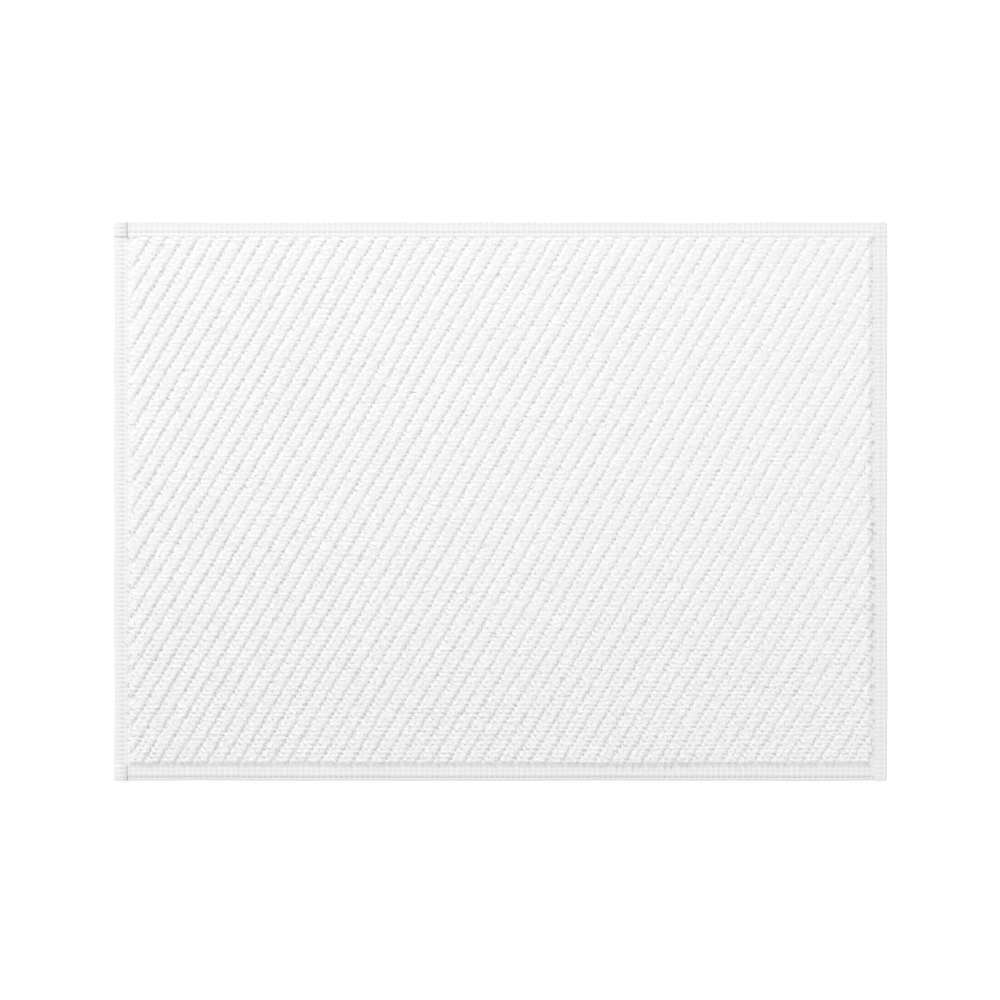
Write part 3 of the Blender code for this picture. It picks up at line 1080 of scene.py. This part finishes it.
def hem_section(place, layer, slot_top, lines):
    """The folded strip's section as (inwards, z, how much it shows), round a flat C."""
    width, thickness = place.width, place.thickness
    radius = thickness / 2
    rounding = layer * 0.2
    section = []
    for step in range(HEM_TOP_STEPS + 1):
        inwards = width - rounding + (radius - width + rounding) * (step / HEM_TOP_STEPS)
        z = thickness
        for middle, height, spread in lines:
            z += height * math.exp(-(((inwards - middle) / spread) ** 2))
        section.append((inwards, z, 1.0))
    for step in range(1, HEM_TURN_STEPS):
        angle = math.pi / 2 + math.pi * step / HEM_TURN_STEPS
        section.append((radius * (1 + math.cos(angle)), radius * (1 + math.sin(angle)), 1.0))
    for step in range(HEM_UNDER_STEPS + 1):
        inwards = radius + (width - rounding - radius) * (step / HEM_UNDER_STEPS)
        section.append((inwards, 0.0, 1.0))
    # Back along the slot that holds the cloth's edge, and up the upper layer's inner edge
    return section + [
        (width - 0.1 * rounding, 0.45 * layer, 0.5),
        (width - rounding, layer * 0.9, 0.0),
        (layer * 1.25, layer * 0.9, 0.0),
        (layer * 1.1, radius, 0.0),
        (layer * 1.25, slot_top, 0.0),
        (width - rounding, slot_top, 0.0),
        (width, slot_top + 0.3 * (thickness - slot_top), 0.0),
        (width - 0.15 * rounding, thickness - 0.1 * layer, 0.3),
    ]


def hem_stations(place, pitch):
    """Places along a hem: on each cord's crest and valley, and closer at both ends."""
    step = pitch / CORD_STEPS
    margin = END_STATIONS[-1] + step / 2
    first, last = math.ceil((place.start + margin) / step), math.floor((place.end - margin) / step)
    ends = [end for gap in END_STATIONS for end in (place.start + gap, place.end - gap)]
    return sorted([step * k for k in range(first, last + 1)] + ends)


def hem_strip(place, hems, pitch, looks, name):
    """The folded strip before its cords: a section swept along, rounded off at its ends."""
    section = hem_section(place, hems.layer, GROUND_HIGH.z + GAP, looks["lines"])
    stations = hem_stations(place, pitch)
    points = []
    traits = {title: [] for title in ("along", "inwards", "shown", "patch", "shade")}
    middle = place.thickness / 2
    for along in stations:
        to_end = min(along - place.start, place.end - along)
        taper, cut, lift = 1.0, 0.0, 0.0
        if place.is_side:
            share = min(1.0, to_end / END_ROUNDING)
            round_off = math.sqrt(1 - (1 - share) ** 2)
            taper = END_THICKNESS + (1 - END_THICKNESS) * round_off
            inside = max(0.0, hems.corner_radius - to_end)
            cut = hems.corner_radius - math.sqrt(hems.corner_radius**2 - inside**2)
            past = ease((to_end - PATCH_LENGTH) / PATCH_SLOPE + 1)
            lift = hems.corner_rise * looks["rise"] * (1 - past)
        for inwards, z, show in section:
            outer = 1 - inwards / place.width
            height = middle + (z - middle) * taper
            height += lift * (z / place.thickness) * taper
            points.append(place.point(along, inwards + cut * outer, height))
            patch = float(place.side == "left" and place.end - along < PATCH_LENGTH)
            # Painted shade along the left hem's inner edge near both ends, where the raised corner flap's
            # edge falls into shadow
            shade = float(place.side == "left" and to_end < PATCH_LENGTH)
            shade *= math.exp(-(((inwards - place.width) / SHADE_WIDTH) ** 2))
            for kept, value in zip(traits.values(), (along, inwards, show, patch, shade)):
                kept.append(value)
    ring = len(section)
    faces = []
    for k in range(len(stations) - 1):
        for i in range(ring):
            a, b = k * ring + i, k * ring + (i + 1) % ring
            faces.append((a, b, b + ring, a + ring))
    faces.append(tuple(range(ring)))
    last = (len(stations) - 1) * ring
    faces.append(tuple(last + i for i in reversed(range(ring))))
    strip = new_piece(name, points, faces)
    for title, values in traits.items():
        store(strip, title, values)
    turn_faces_out(strip)
    return strip


def cord_tree():
    """Cords across a hem with narrow valleys, and a dotted seam pressed into it."""
    titles = ("Cord Pitch", "Cord Place", "Cord Spread", "Cord Depth", "Seam", "Seam Depth")
    titles += ("Hole Depth", "Edge Shade", "Wander", "Width")
    sockets = {title: "Float" for title in titles}
    sockets |= {"Outwards": "Vector", "Material": "Material"}
    graph, inputs = geometry_graph("hem_cords", sockets)
    along, inwards = graph.attribute("along"), graph.attribute("inwards")
    shown = graph.attribute("shown")
    valley = graph.minus(1.0, graph.ridges(along, inputs["Cord Pitch"]))
    narrow = graph.math("POWER", valley, CORD_SHARPNESS)
    spread = graph.bell(graph.minus(inwards, inputs["Cord Place"]), inputs["Cord Spread"])
    spread = graph.mix(CORD_LEAST, 1.0, spread)
    cord = graph.times(narrow, inputs["Cord Depth"], spread)
    seam = graph.bell(graph.minus(inwards, inputs["Seam"]), SEAM_WIDTH)
    press = graph.math("MULTIPLY_ADD", narrow, inputs["Hole Depth"], inputs["Seam Depth"])
    place = graph.out("GeometryNodeInputPosition")
    rough = graph.times(graph.minus(graph.noise(place, 260.0, 2.0), 0.5), HEM_ROUGH)
    height = graph.minus(rough, graph.add(cord, graph.times(seam, press)))
    height = graph.times(height, shown)
    slow = graph.noise(place, 14.0, 1.0)
    outer = graph.minus(1.0, graph.over(inwards, inputs["Width"]))
    stray = graph.times(graph.minus(slow, 0.5), inputs["Wander"], 4.0, outer)
    lifted = graph.moved(place, graph.out("GeometryNodeInputNormal"), height)
    x, y, z = graph.split(graph.moved(lifted, inputs["Outwards"], stray))
    target = graph.vector(x, y, graph.math("MAXIMUM", z, 0.0))
    shaped = graph.out(
        "GeometryNodeSetPosition", {"Geometry": inputs["Geometry"], "Position": target}
    )
    # Painted shade: darker colour in the cord valleys and stitch holes, along the seam, and along the
    # outer fold where the right and bottom hems turn away from the light
    painted_shade = graph.times(narrow, graph.math("MAXIMUM", spread, seam), shown)
    fold = graph.times(graph.bell(inwards, FOLD_SHADE_WIDTH), inputs["Edge Shade"])
    shaped = graph.keep(shaped, "painted_shade", graph.add(painted_shade, graph.times(seam, 0.35), fold))
    close_graph(graph, shaped, inputs["Material"])
    return graph.tree


class BATHMAT_OT_hems(bpy.types.Operator):
    """Fold the flat woven border under on all four sides"""

    bl_idname = "bath_mat.hems"
    bl_label = "Hems"

    def execute(self, context):
        hems = context.scene.bath_mat_hems
        material = border_material(hems.tint)
        tree = cord_tree()
        for side in HEMS:
            place = HemPlace(side)
            looks = HEM_LOOKS[side]
            pitch = hems.side_cord_pitch if place.is_side else hems.end_cord_pitch
            strip = hem_strip(place, hems, pitch, looks, side + "_border")
            outwards = Vector(place.point(0, -1, 0)) - Vector(place.point(0, 0, 0))
            values = {
                "Cord Pitch": pitch,
                "Cord Place": looks["cords"][0],
                "Cord Spread": looks["cords"][1],
                "Cord Depth": looks["cords"][2],
                "Seam": place.seam,
                "Seam Depth": looks["seam"][0],
                "Hole Depth": looks["seam"][1],
                "Edge Shade": looks["edge"],
                "Wander": hems.wander,
                "Width": place.width,
                "Outwards": outwards,
                "Material": material,
            }
            run_graph(strip, tree, values)
            stand_for(strip, "border_weave", place.node)
        return {"FINISHED"}


# ---------------------------------------------------------------- seams


def stitch_tree():
    """A row of stitches along a line, one for each cord, both ends dipping into the cloth."""
    sockets = {title: "Float" for title in ("Pitch", "Thread Radius", "Dip", "Crown")}
    sockets |= {"Start": "Vector", "End": "Vector", "Count": "Int", "Seed": "Int"}
    graph, inputs = geometry_graph("lock_stitches", sockets | {"Material": "Material"})
    line = graph.out(
        "GeometryNodeCurvePrimitiveLine", {"Start": inputs["Start"], "End": inputs["End"]}
    )
    line = graph.out(
        "GeometryNodeResampleCurve", {"Curve": line, "Count": inputs["Count"]}, mode="COUNT"
    )
    reach = graph.times(inputs["Pitch"], 0.46)
    under = graph.times(inputs["Dip"], -1.0)
    crown = inputs["Crown"]
    path = graph.out(
        "GeometryNodeCurvePrimitiveBezierSegment",
        {
            "Resolution": 6,
            "Start": graph.vector(graph.times(reach, -1.0), 0.0, under),
            "Start Handle": graph.vector(graph.times(reach, -0.9), 0.0, crown),
            "End Handle": graph.vector(graph.times(reach, 0.9), 0.0, crown),
            "End": graph.vector(reach, 0.0, under),
        },
    )
    stitch = add_yarn(graph, path, inputs["Thread Radius"], 6)
    sway = graph.random((-0.03, -0.03, -0.05), (0.03, 0.03, 0.05), inputs["Seed"], "FLOAT_VECTOR")
    tangent = graph.out("GeometryNodeInputTangent")
    turn = graph.out(
        "FunctionNodeAlignEulerToVector", {"Rotation": sway, "Vector": tangent}, axis="X"
    )
    row = graph.out(
        "GeometryNodeInstanceOnPoints", {"Points": line, "Instance": stitch, "Rotation": turn}
    )
    close_graph(graph, row, inputs["Material"])
    return graph.tree


class BATHMAT_OT_seams(bpy.types.Operator):
    """Sew the four hems with needle thread above and bobbin thread below"""

    bl_idname = "bath_mat.seams"
    bl_label = "Seams"

    def execute(self, context):
        seams, hems = context.scene.bath_mat_seams, context.scene.bath_mat_hems
        material = thread_material(seams.tint)
        tree = stitch_tree()
        for side in HEMS:
            place = HemPlace(side)
            pitch = hems.side_cord_pitch if place.is_side else hems.end_cord_pitch
            first = math.ceil(place.seam_start / pitch)
            last = math.floor(place.seam_end / pitch)
            for thread in ("needle", "bobbin"):
                node = f"{side}_hem_{thread}_thread"
                low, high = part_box(node)
                upper = thread == "needle"
                z = high.z - seams.thread_radius if upper else low.z + seams.thread_radius
                row = new_piece(f"{side}_{thread}_stitches")
                values = {
                    "Pitch": pitch,
                    "Thread Radius": seams.thread_radius,
                    "Dip": seams.dip if upper else -seams.dip,
                    "Crown": seams.thread_radius * (0.7 if upper else 0.0),
                    "Start": place.point(first * pitch, place.seam, z),
                    "End": place.point(last * pitch, place.seam, z),
                    "Count": last - first + 1,
                    "Seed": len(node),
                    "Material": material,
                }
                run_graph(row, tree, values)
                stand_for(row, "sewing_thread", node)
        return {"FINISHED"}


# ---------------------------------------------------------------- care label


class BATHMAT_OT_label(bpy.types.Operator):
    """Lay the blank care label against the underside"""

    bl_idname = "bath_mat.label"
    bl_label = "Care Label"

    def execute(self, context):
        label = context.scene.bath_mat_label
        size = LABEL_HIGH - LABEL_LOW
        columns, rows = 36, 14
        points = []
        for level in (0, 1):
            for x, y in grid_points(LABEL_LOW, LABEL_HIGH, columns, rows):
                wave = noise.noise(Vector((x * 90, y * 60, 0.5)))
                points.append((x, y, label.ripple * (1 + wave) + level * size.z))
        top = len(points) // 2
        faces = []
        for face in grid_faces(columns, rows):
            faces += [turned_over(face), tuple(top + corner for corner in face)]
        rim = [corner for side in grid_rims(columns, rows) for corner in side[:-1]]
        for a, b in zip(rim, rim[1:] + rim[:1]):
            faces.append((a, b, top + b, top + a))
        tape = new_piece("blank_label", points, faces)
        turn_faces_out(tape)
        tape.data.materials.append(label_material(label.tint))
        stand_for(tape, "label_tape", "care_label")
        return {"FINISHED"}


# ---------------------------------------------------------------- stage


def floor_material():
    """Plain pale studio floor."""
    material = bpy.data.materials.new("pale_floor")
    material.use_nodes = True
    graph = Graph(material.node_tree)
    shader = material.node_tree.nodes["Principled BSDF"]
    shader.inputs["Roughness"].default_value = 1.0
    shader.inputs["Specular IOR Level"].default_value = 0.0
    shader.inputs["Emission Color"].default_value = (1, 1, 1, 1)
    shader.inputs["Emission Strength"].default_value = 0.25
    grain = noise_field(graph, 3.0)
    tinted(graph, shader, (0.96, 0.96, 0.96), 0.005, grain)
    return material


def add_area_light(name, place, target, size, power):
    """A square soft light aimed at a point."""
    light = bpy.data.lights.new(name, "AREA")
    light.shape = "SQUARE"
    light.size = size
    light.energy = power
    obj = bpy.data.objects.new(name, light)
    obj.location = place
    obj.rotation_euler = (Vector(target) - Vector(place)).to_track_quat("-Z", "Y").to_euler()
    bpy.context.scene.collection.objects.link(obj)


class BATHMAT_OT_stage(bpy.types.Operator):
    """Set the floor, the soft studio light and the camera straight above the mat"""

    bl_idname = "bath_mat.stage"
    bl_label = "Stage"

    def execute(self, context):
        stage = context.scene.bath_mat_stage
        half = stage.floor_size / 2
        z = -0.0002
        corners = [(-half, -half, z), (half, -half, z), (half, half, z), (-half, half, z)]
        floor = new_piece("floor", corners, [(0, 1, 2, 3)], smooth=False)
        floor.data.materials.append(floor_material())

        world = bpy.data.worlds.new("studio")
        world.use_nodes = True
        sky = world.node_tree.nodes["Background"]
        sky.inputs["Color"].default_value = (1, 1, 1, 1)
        sky.inputs["Strength"].default_value = stage.sky
        context.scene.world = world
        add_area_light("window_light", WINDOW_PLACE, (0, 0, 0), WINDOW_SIZE, stage.key)

        camera = bpy.data.objects.new("camera", bpy.data.cameras.new("camera"))
        camera.data.lens = CAMERA_LENS
        camera.data.sensor_width = CAMERA_SENSOR
        distance = stage.view_width * CAMERA_LENS / CAMERA_SENSOR
        camera.location = (*CAMERA_PLACE, distance)
        camera.data.clip_end = 50
        context.scene.collection.objects.link(camera)
        context.scene.camera = camera
        context.scene.view_settings.view_transform = "Standard"
        return {"FINISHED"}


# ---------------------------------------------------------------- add-on


class BATHMAT_PT_panel(bpy.types.Panel):
    """The bath mat's pieces and their settings"""

    bl_idname = "BATHMAT_PT_panel"
    bl_label = "Bath Mat"
    bl_space_type = "VIEW_3D"
    bl_region_type = "UI"
    bl_category = "Bath Mat"

    def draw(self, context):
        for operator, setting in zip(OPERATORS, SETTINGS):
            box = self.layout.box()
            box.operator(operator.bl_idname)
            group = getattr(context.scene, setting)
            for key in group.__annotations__:
                box.prop(group, key)


OPERATORS = (
    BATHMAT_OT_pile,
    BATHMAT_OT_ground,
    BATHMAT_OT_hems,
    BATHMAT_OT_seams,
    BATHMAT_OT_label,
    BATHMAT_OT_stage,
)


def register():
    for cls in (*SETTINGS.values(), *OPERATORS, BATHMAT_PT_panel):
        bpy.utils.register_class(cls)
    for name, cls in SETTINGS.items():
        setattr(bpy.types.Scene, name, PointerProperty(type=cls))


def unregister():
    for name in SETTINGS:
        delattr(bpy.types.Scene, name)
    for cls in (BATHMAT_PT_panel, *reversed(OPERATORS), *SETTINGS.values()):
        bpy.utils.unregister_class(cls)


def main():
    """Make every piece in order."""
    register()
    for operator in OPERATORS:
        group, name = operator.bl_idname.split(".")
        getattr(getattr(bpy.ops, group), name)()


if __name__ == "__main__":
    main()
